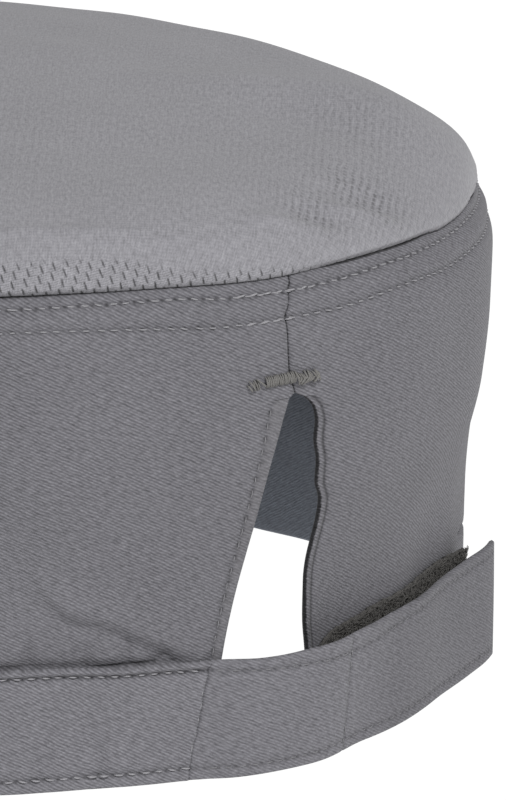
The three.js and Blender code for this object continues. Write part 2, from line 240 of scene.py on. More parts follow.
def ring(angle, height, out):
    """A point of the wall at an angle: out is the distance from its outer face."""
    angle, height, out = np.broadcast_arrays(angle, height, out)
    up = height / WALL_HEIGHT
    mix = smooth(up, RIM_ENDS, SEAM_STARTS)
    share = plan_curve(PLAN, angle, 1) * (1 - mix) + plan_curve(PLAN, angle, 2) * mix
    sine, cosine = heading(angle)
    nx, ny = sine / HALF_WIDTH, cosine / HALF_LENGTH
    size = np.hypot(nx, ny)
    reach = WALL_FLARE * curve(BULGE, 1, up) + out + unease(angle, height)
    lift = (plan_curve(RIM_LIFT, angle) * (1 - smooth(height, 0, 26))
            + plan_curve(SEAM_LIFT, angle) * smooth(height, 66, 82))
    return np.stack([HALF_WIDTH * share * sine + nx / size * reach,
                     HALF_LENGTH * share * cosine + ny / size * reach, height + lift], -1)


def wall(along, height, out):
    return ring(angle_of(along), height, out)


def slit_edge(side, height):
    """How far an edge of the slit, or of the seam over it, lies from the back seam."""
    edge = curve(SLIT_LEFT if side == "left" else SLIT_RIGHT, 1, height / SLIT_HEIGHT)
    if side == "right":  # the loose hem waves a little
        edge = edge + .12 * np.sin(height / 2.1 + .6) * smooth(height, 4, 14) * (1 - smooth(height, 54, 62))
    closed = SEAM_GAP / 2 + curve(SEAM_LINE, 1, height) * (1 if side == "left" else -1)
    return np.where(height > SLIT_HEIGHT, closed, edge)


# Mesh making.

THIN_EDGE = .02  # half the thickness at the very edge of a cloth
FAR = 9  # a distance at which a row or an edge marks nothing


def spread(*stops):
    """Places from stop to stop: place, step, place, step, place."""
    out = [stops[0]]
    for k in range(0, len(stops) - 2, 2):
        a, step, b = stops[k:k + 3]
        count = max(1, int(round((b - a) / step)))
        out += list(a + (b - a) * np.arange(1, count + 1) / count)
    return np.array(out)


def edge_round(distance, thick):
    """Half the thickness of a cloth near its rounded edge."""
    radius = thick / 2
    near = np.clip(distance / radius, 0, 1)
    return radius * np.sqrt(np.clip(1 - (1 - near) ** 2, 0, 1))


def turned_outward(mesh):
    """Whether the faces of a closed mesh look outward, by the sign of its volume."""
    mesh.calc_loop_triangles()
    corners = np.empty(len(mesh.loop_triangles) * 3, int)
    mesh.loop_triangles.foreach_get("vertices", corners)
    places = np.empty(len(mesh.vertices) * 3)
    mesh.vertices.foreach_get("co", places)
    a, b, c = places.reshape(-1, 3)[corners.reshape(-1, 3)].transpose(1, 0, 2)
    return np.sum(a * np.cross(b, c)) > 0


def make(name, points, faces, material, layers=None):
    """One mesh object from points in millimetres."""
    mesh = bpy.data.meshes.new(name)
    points = np.asarray(points, float).reshape(-1, 3)
    mesh.from_pydata(((points + MIDDLE) * MM).tolist(), [], [tuple(f) for f in faces])
    mesh.polygons.foreach_set("use_smooth", np.ones(len(mesh.polygons), bool))
    corner = np.empty(len(mesh.loops), int)
    mesh.loops.foreach_get("vertex_index", corner)
    for layer, values in (layers or {}).items():
        store = mesh.uv_layers.new(name=layer)
        store.data.foreach_set("uv", np.asarray(values, float).reshape(-1, 2)[corner].ravel())
    mesh.materials.append(material)
    mesh.validate()
    if not turned_outward(mesh):
        mesh.flip_normals()
    mesh.update()
    obj = bpy.data.objects.new(name, mesh)
    scene.collection.objects.link(obj)
    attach(obj, "root")
    return obj


def grid_faces(rows, columns, start=0, flip=False, closed=False):
    i, j = np.meshgrid(np.arange(rows - 1), np.arange(columns if closed else columns - 1), indexing="ij")
    k = (j + 1) % columns
    a, b, c, d = i * columns + j, i * columns + k, (i + 1) * columns + k, (i + 1) * columns + j
    quads = np.stack([a, b, c, d], -1).reshape(-1, 4) + start
    return quads[:, ::-1] if flip else quads


def double_sheet(name, outer, inner, layers, material):
    """A cloth with an outer and an inner face, joined round its border."""
    rows, columns = outer.shape[:2]
    count = rows * columns
    faces = [grid_faces(rows, columns), grid_faces(rows, columns, count, flip=True)]
    ids = np.arange(count).reshape(rows, columns)
    loop = np.concatenate([ids[0], ids[1:, -1], ids[-1, -2::-1], ids[-2:0:-1, 0]])
    after = np.roll(loop, -1)
    faces.append(np.stack([after, loop, loop + count, after + count], -1))
    points = np.concatenate([outer.reshape(-1, 3), inner.reshape(-1, 3)])
    both = {key: np.concatenate([v.reshape(-1, 2), v.reshape(-1, 2)]) for key, v in layers.items()}
    return make(name, points, np.concatenate(faces), material, layers=both)


def tubes(points, radii, sides=6):
    """Closed tubes along n lists of k points, (n, k, 3), with (n, k) or (k,) radii."""
    points = np.asarray(points, float)
    n, k = points.shape[:2]
    radii = np.broadcast_to(radii, (n, k))
    way = np.gradient(points, axis=1)
    way /= np.linalg.norm(way, axis=2, keepdims=True) + 1e-9
    side = np.cross(way, np.array([0.0, 0.0, 1.0]))
    short = np.linalg.norm(side, axis=2, keepdims=True)
    side = np.where(short > 1e-3, side / np.maximum(short, 1e-9), np.array([1.0, 0, 0]))
    lift = np.cross(side, way)
    turn = np.arange(sides) * 2 * np.pi / sides
    rim = (points[:, :, None] + radii[:, :, None, None] * (np.cos(turn)[:, None] * side[:, :, None]
           + np.sin(turn)[:, None] * lift[:, :, None]))
    faces = []
    base = grid_faces(k, sides, closed=True)
    caps = [list(range(sides))[::-1], list(range((k - 1) * sides, k * sides))]
    for t in range(n):
        faces += (base + t * k * sides).tolist() + [[v + t * k * sides for v in c] for c in caps]
    return rim.reshape(-1, 3), faces


def on_wall(points):
    return wall(*points.T)


# Materials.

class Nodes:
    def __init__(self, name):
        self.material = bpy.data.materials.new(name)
        self.material.use_nodes = True
        self.tree = self.material.node_tree
        self.tree.nodes.clear()
        self.shader = self.add("ShaderNodeBsdfPrincipled")
        end = self.add("ShaderNodeOutputMaterial")
        self.feed(end.inputs[0], self.shader.outputs[0])

    def add(self, kind, **values):
        node = self.tree.nodes.new(kind)
        for key, value in values.items():
            setattr(node, key, value)
        return node

    def feed(self, target, value):
        if isinstance(value, bpy.types.NodeSocket):
            self.tree.links.new(value, target)
        else:
            target.default_value = value

    def math(self, operation, a, b=None, c=None, clamp=False):
        node = self.add("ShaderNodeMath", operation=operation, use_clamp=clamp)
        for socket, value in zip(node.inputs, (a, b, c)):
            if value is not None:
                self.feed(socket, value)
        return node.outputs[0]

    def times(self, a, b):
        return self.math("MULTIPLY", a, b)

    def plus(self, a, b):
        return self.math("ADD", a, b)

    def swing(self, share, size):
        """How far a share lies from its middle, times a size."""
        return self.times(self.math("SUBTRACT", share, .5), size)

    def less(self, value, share):
        """A value less a share of itself."""
        return self.times(value, self.math("SUBTRACT", 1.0, share))

    def total(self, *parts):
        out = parts[0]
        for part in parts[1:]:
            out = self.plus(out, part)
        return out

    def vector(self, operation, a, b):
        node = self.add("ShaderNodeVectorMath", operation=operation)
        self.feed(node.inputs[0], a)
        self.feed(node.inputs[1], b)
        return node.outputs["Value"] if operation == "DOT_PRODUCT" else node.outputs["Vector"]

    def uv(self, name):
        return self.add("ShaderNodeUVMap", uv_map=name).outputs[0]

    def split(self, vector):
        node = self.add("ShaderNodeSeparateXYZ")
        self.feed(node.inputs[0], vector)
        return node.outputs

    def noise(self, vector, scale, detail=2.0, rough=.5, output="Fac"):
        node = self.add("ShaderNodeTexNoise", noise_dimensions="3D")
        self.feed(node.inputs["Vector"], vector)
        for name, value in (("Scale", scale), ("Detail", detail), ("Roughness", rough)):
            node.inputs[name].default_value = value
        return node.outputs[output]

    def cosine(self, phase):
        """From 0 to 1, with 1 at whole numbers."""
        return self.math("MULTIPLY_ADD", self.math("COSINE", self.times(phase, 2 * np.pi)), .5, .5)

    def hill(self, distance, width):
        """1 at no distance, falling to 0 beyond the width."""
        share = self.times(distance, 1 / width)
        return self.math("EXPONENT", self.times(self.times(share, share), -1.0))

    def scaled(self, colour, tone):
        node = self.add("ShaderNodeVectorMath", operation="SCALE")
        self.feed(node.inputs[0], colour)
        self.feed(node.inputs["Scale"], tone)
        return node.outputs["Vector"]

    def mix(self, share, a, b):
        node = self.add("ShaderNodeMix", data_type="RGBA")
        self.feed(node.inputs[0], share)
        self.feed(node.inputs[6], a)
        self.feed(node.inputs[7], b)
        return node.outputs[2]

    def finish(self, colour, height=None, depth=.1, rough=.9, sheen=0.0, sheen_rough=.5, specular=.2):
        self.feed(self.shader.inputs["Base Color"], colour)
        self.feed(self.shader.inputs["Roughness"], rough)
        for name, value in (("Specular IOR Level", specular), ("Sheen Weight", sheen),
                            ("Sheen Roughness", sheen_rough)):
            self.shader.inputs[name].default_value = value
        if height is not None:
            node = self.add("ShaderNodeBump")
            node.inputs["Strength"].default_value = 1.0
            node.inputs["Distance"].default_value = depth * MM
            self.feed(node.inputs["Height"], height)
            self.feed(self.shader.inputs["Normal"], node.outputs[0])
        return self.material


# Tints, as the shares of red, green and blue in a grey.
CLOTH_TINT, HEM_TINT, KNIT_TINT = (1.0, .981, 1.072), (1.0, .978, 1.05), (1.0, .985, 1.058)
SLATE_TINT, THREAD_TINT, PILE_TINT = (.92, 1.0, 1.165), (1.0, .985, 1.04), (1.06, 1.0, .93)


def shade(grey, tint=CLOTH_TINT):
    return tuple(grey * part for part in tint)


# Twill waves per millimetre, along and up: its ribs, the floats that break them, and its yarns.
RIB, FLOAT = (-.96, 1.83, 0), (-.65, -1.04, 0)
YARN_LONG, YARN_ACROSS = (.62, .325, 0), (-.98, 1.86, 0)


def twill(name, grey, rows=0, contrast=.60, tint=CLOTH_TINT, hole_shade=.40, hem_row=None, overlock_and_shade=False,
          tail_shade=0.0):
    """Twill cloth with sunken stitch rows; each row has a UV layer of stitch count and distance."""
    n = Nodes(name)
    uv = n.uv("cloth")
    warp = n.math("SUBTRACT", n.noise(uv, .35, 2), .5)
    fine = n.noise(uv, 3.0, 3, .65)
    rib = n.plus(n.vector("DOT_PRODUCT", uv, RIB), n.total(n.times(warp, 1.1), n.times(fine, .5)))
    beat = n.plus(n.vector("DOT_PRODUCT", uv, FLOAT), n.times(fine, .7))
    ribs = n.cosine(rib)
    weave = n.plus(n.times(ribs, .55), n.times(n.times(ribs, n.cosine(beat)), .45))
    yarn = n.add("ShaderNodeCombineXYZ")
    n.feed(yarn.inputs[0], n.vector("DOT_PRODUCT", uv, YARN_LONG))
    n.feed(yarn.inputs[1], n.vector("DOT_PRODUCT", uv, YARN_ACROSS))
    streaks = n.noise(yarn.outputs[0], 1.0, 2, .6)
    melange = n.noise(uv, 1.3, 3, .7)
    broad = n.noise(uv, .05, 3, .6)
    ribbed = n.times(n.math("SUBTRACT", weave, .40), contrast)
    body = shade(grey, tint)
    if hem_row is not None:  # the turned edge beside this row is worn smooth
        turned = n.math("MULTIPLY", n.split(n.uv(f"row{hem_row}"))[1], -3.0, clamp=True)
        ribbed = n.less(ribbed, n.times(turned, .45))
        body = n.mix(turned, (*body, 1), (*shade(grey * 1.02, HEM_TINT), 1))
    tone = n.total(ribbed, n.swing(streaks, 1.15),
                   n.swing(melange, .20), n.swing(fine, .5),
                   n.swing(broad, .22), 1.0)
    if tail_shade:  # painted shade: the cloth is darker towards the free tail, which faces away from the light
        past = n.math("MULTIPLY", n.plus(n.split(uv)[0], 12), -.06, clamp=True)
        tone = n.less(tone, n.times(past, tail_shade))
    height = n.plus(n.times(weave, .55), n.times(fine, .25))
    dark = 0.0
    # painted shade in the needle holes and along each sunk row
    for k in range(rows):
        place = n.split(n.uv(f"row{k}"))
        gap = n.math("SUBTRACT", 1.0, n.cosine(place[0]))
        hole = n.times(n.math("POWER", gap, 4.0), n.hill(place[1], .30))
        shadow = n.plus(n.times(hole, hole_shade), n.times(n.hill(place[1], .42), .16))
        pucker = n.swing(gap, n.hill(place[1], 1.9))
        sunk = n.times(n.hill(place[1], .7), -1.4)
        height = n.total(height, n.times(hole, -1.3), sunk, n.times(pucker, .9))
        dark = n.math("MAXIMUM", dark, shadow)
    if overlock_and_shade:  # at the slit's right edge, painted shade with near black overlock thread; along the back seam above it, in the crease under the top seam and just over the band's upper edge, painted shade
        beside, below = n.split(n.uv("edge"))[:2]
        reach = n.plus(beside, n.swing(fine, .45))
        near = n.math("SUBTRACT", 1.0, n.math("MULTIPLY", n.plus(reach, -.15), 7.0, clamp=True))
        # painted shade in the crease under the top seam and in a thin line just over the band
        crease_shade = n.times(n.hill(below, 1.0), .7)
        dark = n.math("MAXIMUM", dark, n.math("MAXIMUM", n.times(near, .86), crease_shade))
    tone = n.less(tone, dark)
    return n.finish(n.scaled(body, n.math("MAXIMUM", tone, .05)), height, .10, .92, sheen=.10, specular=.12)


# The mesh: its slots' lattice and slant on the steep edge, and on the top, in millimetres.
EDGE_MESH = ((2.05, .42), (.40, 1.61), (-.31, .95))
TOP_MESH = ((1.38, .24), (.03, 1.22), (-.16, .98))
EDGE_SLOT, TOP_SLOT = (.82, .135), (.46, .28)  # half of a slot's length and width; on top it has closed


def mesh_slots(n, place, lattice, size):
    """The slots of the mesh, from 0 to 1, with the lattice's own two counts."""
    across, along, way = (np.array(v) for v in lattice)
    way = way / np.linalg.norm(way)
    back = np.linalg.inv(np.stack([across, along], 1))
    count = [n.vector("DOT_PRODUCT", place, (*row, 0)) for row in back]
    cell = [n.math("SUBTRACT", n.math("FRACT", c), .5) for c in count]
    length, width = (n.plus(n.times(cell[0], float(across @ unit)), n.times(cell[1], float(along @ unit)))
                     for unit in (way, np.array([way[1], -way[0]])))
    ends = n.math("POWER", n.math("ABSOLUTE", n.times(length, 1 / size[0])), 4.0)
    slot = n.times(n.hill(width, size[1]), n.math("EXPONENT", n.times(ends, -1.0)))
    return slot, count


def mesh_knit(name, grey):
    """Knitted mesh: rows of short slots, open where the crown turns down and nearly closed on top."""
    n = Nodes(name)
    uv = n.uv("cloth")
    show = n.split(n.uv("show"))
    drift = n.vector("SUBTRACT", n.noise(uv, .22, output="Color"), (.5, .5, .5))
    fine = n.noise(uv, 3.4, 4, .7)
    grain = n.noise(uv, 1.1, 3, .6)
    tufts = n.noise(n.vector("MULTIPLY", uv, (1.9, .62, 0)), 1.0, 3, .7)
    placed = n.vector("ADD", uv, n.vector("MULTIPLY", drift, (1.3, 1.3, 0)))
    edge_place = n.vector("ADD", n.uv("rim"), n.vector("MULTIPLY", drift, (.7, .5, 0)))
    top_slot, count = mesh_slots(n, placed, TOP_MESH, TOP_SLOT)
    edge_slot, edge_count = mesh_slots(n, edge_place, EDGE_MESH, EDGE_SLOT)
    bars = n.cosine(n.plus(n.times(edge_count[1], 4.0), n.times(fine, .6)))
    patchy = n.math("MAXIMUM", n.plus(n.times(n.noise(uv, .30, 3, .6), 3.2), -.6), 0.0)
    top_hold = n.times(show[1], patchy)
    low = n.hill(n.split(n.uv("rim"))[1], 1.3)
    edge_hold = n.times(show[0], n.total(n.times(grain, .9), .16, n.times(low, .32)))
    slots = n.plus(n.times(top_slot, top_hold), n.times(edge_slot, edge_hold))
    course = n.cosine(n.plus(n.times(count[1], 2.0), n.times(fine, .4)))
    wale = n.cosine(n.plus(n.times(count[0], 3.0), n.times(fine, .5)))
    knit = n.plus(n.times(course, .5), n.times(wale, .5))
    broad = n.noise(uv, .05, 3, .6)
    tone = n.total(n.swing(knit, .16), n.swing(fine, .62),
                   n.swing(grain, .22), n.swing(tufts, 1.05),
                   n.swing(broad, .16), 1.0)
    steep = n.plus(n.swing(bars, .26), n.swing(fine, .7))
    tone = n.plus(tone, n.times(steep, show[0]))
    # painted shade: the open slots are darkened where the cap's shaded inside shows through
    tone = n.less(tone, n.math("MINIMUM", slots, .86))
    # painted shade in the seam's crease and on the crown's faces inside the cap
    tone = n.less(tone, n.split(n.uv("crease_shade"))[0])
    height = n.total(n.times(knit, .35), n.times(fine, .35), n.times(grain, .5), n.times(slots, -3.0))
    return n.finish(n.scaled(shade(grey, KNIT_TINT), tone), height, .12, .95, sheen=.2, sheen_rough=.6,
                    specular=.1)


def thread(name, grey, tint=THREAD_TINT):
    n = Nodes(name)
    place = n.add("ShaderNodeTexCoord").outputs["Object"]
    fibre = n.noise(place, 2600, 2)
    tone = n.plus(n.swing(fibre, .5), 1.0)
    return n.finish(n.scaled(shade(grey, tint), tone), fibre, .05, .7, specular=.3)


def pile(name, grey, tint=PILE_TINT):
    n = Nodes(name)
    uv = n.uv("cloth")
    tuft = n.noise(uv, 1.5, 4, .75)
    fine = n.noise(uv, 6.0, 3, .7)
    tone = n.total(n.swing(tuft, 1.5), n.swing(fine, .9), 1.0)
    return n.finish(n.scaled(shade(grey, tint), n.math("MAXIMUM", tone, .1)), n.plus(tuft, n.times(fine, .5)),
                    .35, 1.0, sheen=.15, specular=.1)


TWILL_GREY, BAND_GREY, STRAP_GREY, KNIT_GREY, SLATE_GREY = .165, .182, .182, .274, .150
THREAD_GREY, ROW_THREAD_GREY, SUNK_THREAD_GREY, TACK_GREY = .31, .29, .21, .175
TAPE_GREY, HOOK_GREY, FUZZ_GREY = .080, .05, .12
wall_cloth = twill("twill_wall", TWILL_GREY, rows=4, hem_row=2, overlock_and_shade=True)
band_cloth = twill("twill_band", BAND_GREY, rows=2)
strap_cloth = twill("twill_strap", STRAP_GREY, rows=3, contrast=.48, hole_shade=.22, tail_shade=.16)
hem_cloth = twill("twill_hem", TWILL_GREY, overlock_and_shade=True)
slate_cloth = twill("slate_twill", SLATE_GREY, rows=1, contrast=.22, tint=SLATE_TINT)
knit_cloth = mesh_knit("mesh_knit", KNIT_GREY)
sewing = thread("sewing_thread", THREAD_GREY)
sunk_sewing = thread("sunk_thread", SUNK_THREAD_GREY)
row_sewing = thread("row_thread", ROW_THREAD_GREY)
tack_thread = thread("tack_thread", TACK_GREY, (1.03, 1.0, .955))
pile_cloth = pile("loop_pile", TAPE_GREY)
hook_cloth = pile("hook_strip", HOOK_GREY)
fuzz = thread("loop_fuzz", FUZZ_GREY, (1.04, 1.0, .95))


# Side wall.

def plan_crease(along):
    """How far down the wall the seam's shadow reaches."""
    return .06 + .20 * plan_curve(CREASE, angle_of(along))


def row_layer(count_along, distance):
    """A stitch row's UV layer: stitches counted along it, and the distance from it."""
    return np.stack(np.broadcast_arrays(count_along, distance), -1)


def top_row(along, table):
    return curve(table, 1, from_back(along))


def puckers(s, z, table):
    """Hollows and swellings, one for each row of a table."""
    return sum(rise * bump(s - along - slant * (z - up), reach) * bump(z - up, tall)
               for along, slant, reach, up, tall, rise in table)


def folds_on_wall(back, z):
    """The fold that runs down to the band, the puckers over it and between the rows, and its groove."""
    fold = curve(FOLD, 1, back)
    there = smooth(back, 15, 20) * (1 - smooth(back, 37, 44))
    out = there * (1.0 * bump(z - fold - 2.2, 2.4) - .9 * bump(z - fold + .5, 1.3))
    between = smooth(-back, 20, 24) * (1 - smooth(-back, 35, 38)) * bump(z - 79.8, 1.7)
    out = out + .30 * np.cos(2 * np.pi * back / 3.1) * between + puckers(back, z, WALL_PUCKERS)
    groove = bump(z - curve(BAND_TOP, 1, back) + .05, .5) * smooth(np.abs(back + 30), 43, 50)
    return out - 1.25 * groove


def side_wall():
    z = spread(0, .2, .6, .9, 73.5, .55, WALL_HEIGHT)[:, None]
    near = spread(0, .2, .6, .55, 6, 1.0, 112, 3.2, HALF_ROUND) / HALF_ROUND  # closer where the photo looks
    left = slit_edge("left", z) * (1 - near) + HALF_ROUND * near
    rightward = slit_edge("right", z) * (1 - near) + HALF_ROUND * near
    s = np.concatenate([left, (ROUND - rightward)[:, ::-1][:, 1:]], 1)
    z = np.broadcast_to(z, s.shape)
    from_left = s - slit_edge("left", z)
    from_right = ROUND - s - slit_edge("right", z)
    in_slit = z < SLIT_HEIGHT
    half = np.where(in_slit, edge_round(np.minimum(from_left, from_right), TWILL), TWILL / 2)
    half = np.maximum(np.minimum(half, edge_round(z, TWILL)), THIN_EDGE)
    back = from_back(s)
    top_seam = WALL_HEIGHT - z
    # It is drawn in at the top seam, and both rows under it are sunk between soft ridges.
    relief = -(.35 + 1.3 * plan_curve(CREASE, angle_of(s))) * bump(top_seam, .55)
    relief += -.22 * bump(z - top_row(s, ROW_TOP), .7) - .24 * bump(z - top_row(s, ROW_LOW), .8)
    relief += .16 * bump(z - 79.4, 1.2) + .10 * bump(z - 74.8, 1.6)
    beside_seam = back - curve(SEAM_LINE, 1, z)
    closed = smooth(z, SLIT_HEIGHT - 1, SLIT_HEIGHT + 2)
    relief += closed * (-.45 * bump(beside_seam, .35) + .14 * bump(np.abs(beside_seam) - 1.9, 1.2))
    relief += folds_on_wall(back, z)
    hem_left = curve(SLIT_ROW, 1, z)
    open_ = 1 - smooth(z, SLIT_HEIGHT - 3, SLIT_HEIGHT)
    relief += open_ * (-.22 * bump(from_left - hem_left, .6) + .14 * bump(from_left - .9, .9))
    relief += open_ * (-.09 * bump(from_right - 1.5, .6) + .06 * bump(from_right - .6, .5))
    outer = wall(s, z, -TWILL / 2 + half + relief)
    inner = wall(s, z, -TWILL / 2 - half)
    beside_band = (s > 21) & (s < ROUND - BAND_START)
    shade_over_band = np.where(beside_band, np.abs(z - curve(BAND_TOP, 1, back) - .12) / .30, FAR)
    count = s / PITCH
    layers = {
        "cloth": np.stack([np.where(s > HALF_ROUND, s - ROUND, s), z], -1),
        "row0": row_layer(count, z - top_row(s, ROW_TOP)),
        "row1": row_layer(count + .4, z - top_row(s, ROW_LOW)),
        "row2": row_layer(z / PITCH, np.where(open_ > 0, from_left - hem_left, FAR)),
        "row3": row_layer(.5 + 0 * z, np.where(open_ > 0, from_right - 1.25, FAR)),
        # edge layer: distance from the slit's right edge and the back seam, for painted shade with near black
        # overlock; reach under the top seam and over the band, for painted shade
        "edge": row_layer(np.where(in_slit, from_right, np.abs(from_right) + .22),
                          np.minimum(top_seam / plan_crease(s), shade_over_band)),
    }
    piece = double_sheet("wall_cloth", outer, inner, layers, wall_cloth)
    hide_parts("side_wall")
    return piece


wall_piece = side_wall()


# Crown.

def ridges(x, y):
    """Sharp creases, where x and y are shares of the plan."""
    out = 0
    for start, end, tall, wide in RIDGES:
        way = np.subtract(end, start)
        t = np.clip(((x - start[0]) * way[0] + (y - start[1]) * way[1]) / (way @ way), 0, 1)
        gone = np.hypot(x - start[0] - t * way[0], y - start[1] - t * way[1])
        out = out + tall * bump(gone, wide) * (1 - .5 * (2 * t - 1) ** 4)
    return out


def crown_rise(angle, out, shrink):
    """The crown's height over the seam, a share out from its middle and shrink inside its outer face."""
    local = smooth(out, EVEN_OUT, FULL_OUT)
    puff = (CROWN_PUFF - shrink) * (1 + (plan_curve(PLAN, angle, 3) - 1) * local)
    edge = np.maximum(0, (out - (1 - PUFF_SHARE)) / PUFF_SHARE)
    x, y = out * np.array(heading(angle))
    dent = -ridges(x, y)
    for at, away, deep, wide, long in DENTS:
        sine, cosine = heading(at)
        dent = dent + deep * CROWN_PUFF * bump(x - away * sine, wide) * bump(y - away * cosine, long)
    roundness = plan_curve(ROUNDNESS, angle)
    rolled = np.maximum(0, 1 - edge ** roundness) ** (1 / roundness)
    ripple = (.35 * np.sin(7 * x + 3 * y + 1) * np.sin(6 * y - 2 * x) + .22 * np.sin(15 * x - 9 * y)
              * np.sin(12 * y + 8 * x + 2))
    return puff * rolled + CROWN_DOME * (1 - out ** 2) - (dent - ripple * smooth(out, 0, .4)) * rolled


def crown():
    columns = 480
    angle = np.arange(columns) * 360 / columns
    seam_height = WALL_HEIGHT + CLEARANCE
    flat = np.repeat(spread(0, .026, 1 - PUFF_SHARE)[1:, None], columns, 1)
    roundness = plan_curve(ROUNDNESS, angle)
    corner = .5 ** (1 / roundness)  # where the puff turns from its top to its side
    turned = corner * np.linspace(0, 1, 17)[1:, None]
    falling = corner * (1 - spread(0, .055, .88, .016, 1)[1:, None])
    side = (1 - falling ** roundness) ** (1 / roundness)
    outs = np.concatenate([flat, 1 - PUFF_SHARE * (1 - np.concatenate([turned, side]))])
    rim = ring(angle, WALL_HEIGHT, 0)
    outward = rim[:, :2] / np.linalg.norm(rim[:, :2], axis=1, keepdims=True)
    drop = plan_curve(LIP_DROP, angle)
    over = smooth(-drop, .15, .55)  # where the lip hangs over the wall's top

    def placed(base, out, shrink):
        point = base * out[:, None]
        point[:, 2] = seam_height + crown_rise(angle, out, shrink)
        return point

    rings = []
    for out in outs:
        point = placed(rim, out, 0)
        low = point[:, 2] - seam_height
        tuck = (.80 - .45 * over) * bump(np.maximum(low, 0), .55) - .25 * over * bump(low, 2.5)
        gather = .14 * np.sin(angle / 360 * 2 * np.pi * 271) * bump(low - .9, 1.2)
        point[:, :2] -= outward * (tuck + gather)[:, None]
        point[:, 2] += plan_curve(SEAM_LIFT, angle) * (1 - smooth(low, .8, 5)) + drop * bump(low, 2.4)
        rings.append(point)
    for out, height in ((INSIDE, seam_height - .3), (INSIDE, WALL_HEIGHT - SEAM_ALLOWANCE),
                        (INSIDE - KNIT, WALL_HEIGHT - SEAM_ALLOWANCE), (INSIDE - KNIT, seam_height + KNIT)):
        point = ring(angle, WALL_HEIGHT, out)
        point[:, 2] = height
        rings.append(point)
    inside = ring(angle, WALL_HEIGHT, -KNIT)
    rings = np.stack(rings + [placed(inside, out, KNIT) for out in outs[::-1][12::4]])
    count = len(outs)
    inner = len(rings) - count  # rings that the cloth's outer face doesn't have
    start = np.array([0, 0, seam_height + float(crown_rise(0.0, 0.0, 0))])
    first = np.linalg.norm(rings[0] - start, axis=1)[None]
    reach = np.cumsum(np.concatenate([first, np.linalg.norm(np.diff(rings[:count], axis=0), axis=2)]), 0)
    flat_place = reach[:, :, None] * outward[None]
    to_right, away = right[:2], -np.array([-right[1], right[0]])
    away = away if away @ aim[:2] > 0 else -away
    cloth = np.stack([flat_place @ to_right, flat_place @ away], -1)
    cloth = np.concatenate([cloth, np.repeat(cloth[-1:], inner, 0)])
    up_step = np.diff(rings, axis=0, prepend=rings[:1])
    flatness = np.linalg.norm(up_step[:, :, :2], axis=2) / (np.linalg.norm(up_step, axis=2) + 1e-6)
    steepness = 1 - smooth(flatness, .22, .70)
    steepness[count:] = 0
    on_top = np.full(steepness.shape, TOP_SHOW)
    share = np.concatenate([outs, np.ones((inner, columns))])
    x, y = share * np.array(heading(angle))[:, None]
    for at, place, strength, wide in MESH_PATCHES:
        sine, cosine = heading(at)
        on_top = on_top + strength * bump(np.hypot(x - place * sine, y - place * cosine), wide)
    from_seam = np.concatenate([reach[-1] - reach, np.zeros((inner, columns))])
    turned_down = np.maximum(steepness, 1 - smooth(from_seam, 2.0, 3.4))
    beyond = smooth(from_seam - plan_curve(SLOT_REACH, angle), -1.3, .5)
    open_slots = turned_down * plan_curve(SLOTS_SHOW, angle) * (1 - beyond)
    show = np.stack([open_slots, on_top * (1 - steepness)], -1)
    show[count:] = 0
    show[:, columns // 2 - 1:columns // 2 + 1] = 0  # where the places along the rim begin again
    along_rim = np.interp(half_turn(angle), angles, lengths)
    rim_place = np.stack([np.broadcast_to(-along_rim, from_seam.shape), from_seam], -1)
    points = np.concatenate([start[None], rings.reshape(-1, 3), start[None] - [0, 0, KNIT]])

    # painted shade: darker in the crease at the seam, and on the rings inside the cap
    crease_shade = bump(from_seam, .22) * plan_curve(CREASE, angle)
    crease_shade[count:] = .8
    layers = {"cloth": cloth, "show": show, "rim": rim_place, "crease_shade": np.stack([crease_shade, crease_shade], -1)}
    layers = {key: np.concatenate([[[0, 0]], v.reshape(-1, 2), [[0, 0]]]) for key, v in layers.items()}
    faces = grid_faces(len(rings), columns, 1, closed=True).tolist()
    last = 1 + (len(rings) - 1) * columns
    for i in range(columns):
        after = (i + 1) % columns
        faces += [[0, 1 + after, 1 + i], [last + i, last + after, len(points) - 1]]
    piece = make("crown_cloth", points, faces, knit_cloth, layers=layers)
    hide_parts("crown_top")
    return piece


crown_piece = crown()


# Band, strap and the pieces inside.

def stretch(z, s, top):
    """Heights on the band, where its upper edge rises and falls."""
    return z + (curve(top, 1, from_back(s)) - BAND_HEIGHT) * smooth(z, 6, BAND_HEIGHT - 3)


def flat_cloth(name, node, s, z, mid, thick, material, rows=(), relief=0, top=None, edge=None):
    """A strip on the wall: s and z are grids, mid its middle's distance from the wall's face."""
    s, z = np.broadcast_arrays(s, z)
    rim = np.minimum(z - z[:1], z[-1:] - z)
    rim = np.minimum(rim, np.minimum(np.abs(s - s[:, :1]), np.abs(s - s[:, -1:])))
    half = np.maximum(edge_round(rim, thick), THIN_EDGE)
    placed = z if top is None else stretch(z, s, top)
    outer, inner = wall(s, placed, mid + half + relief), wall(s, placed, mid - half)
    layers = {"cloth": np.stack([from_back(s), z], -1)}
    for k, row in enumerate(rows):
        layers[f"row{k}"] = row
    if edge is not None:
        layers["edge"] = row_layer(edge, FAR)
    piece = double_sheet(name, outer, inner, layers, material)
    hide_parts(node)
    return piece


def joint_place(z):
    """Where the strap comes out from under the band's end."""
    uneven = .10 * np.sin(z / .55) * np.sin(z / 1.9 + 1)
    return slit_edge("left", z) + STRAP_INSET - .5 * bump(z - 9, 5) + uneven


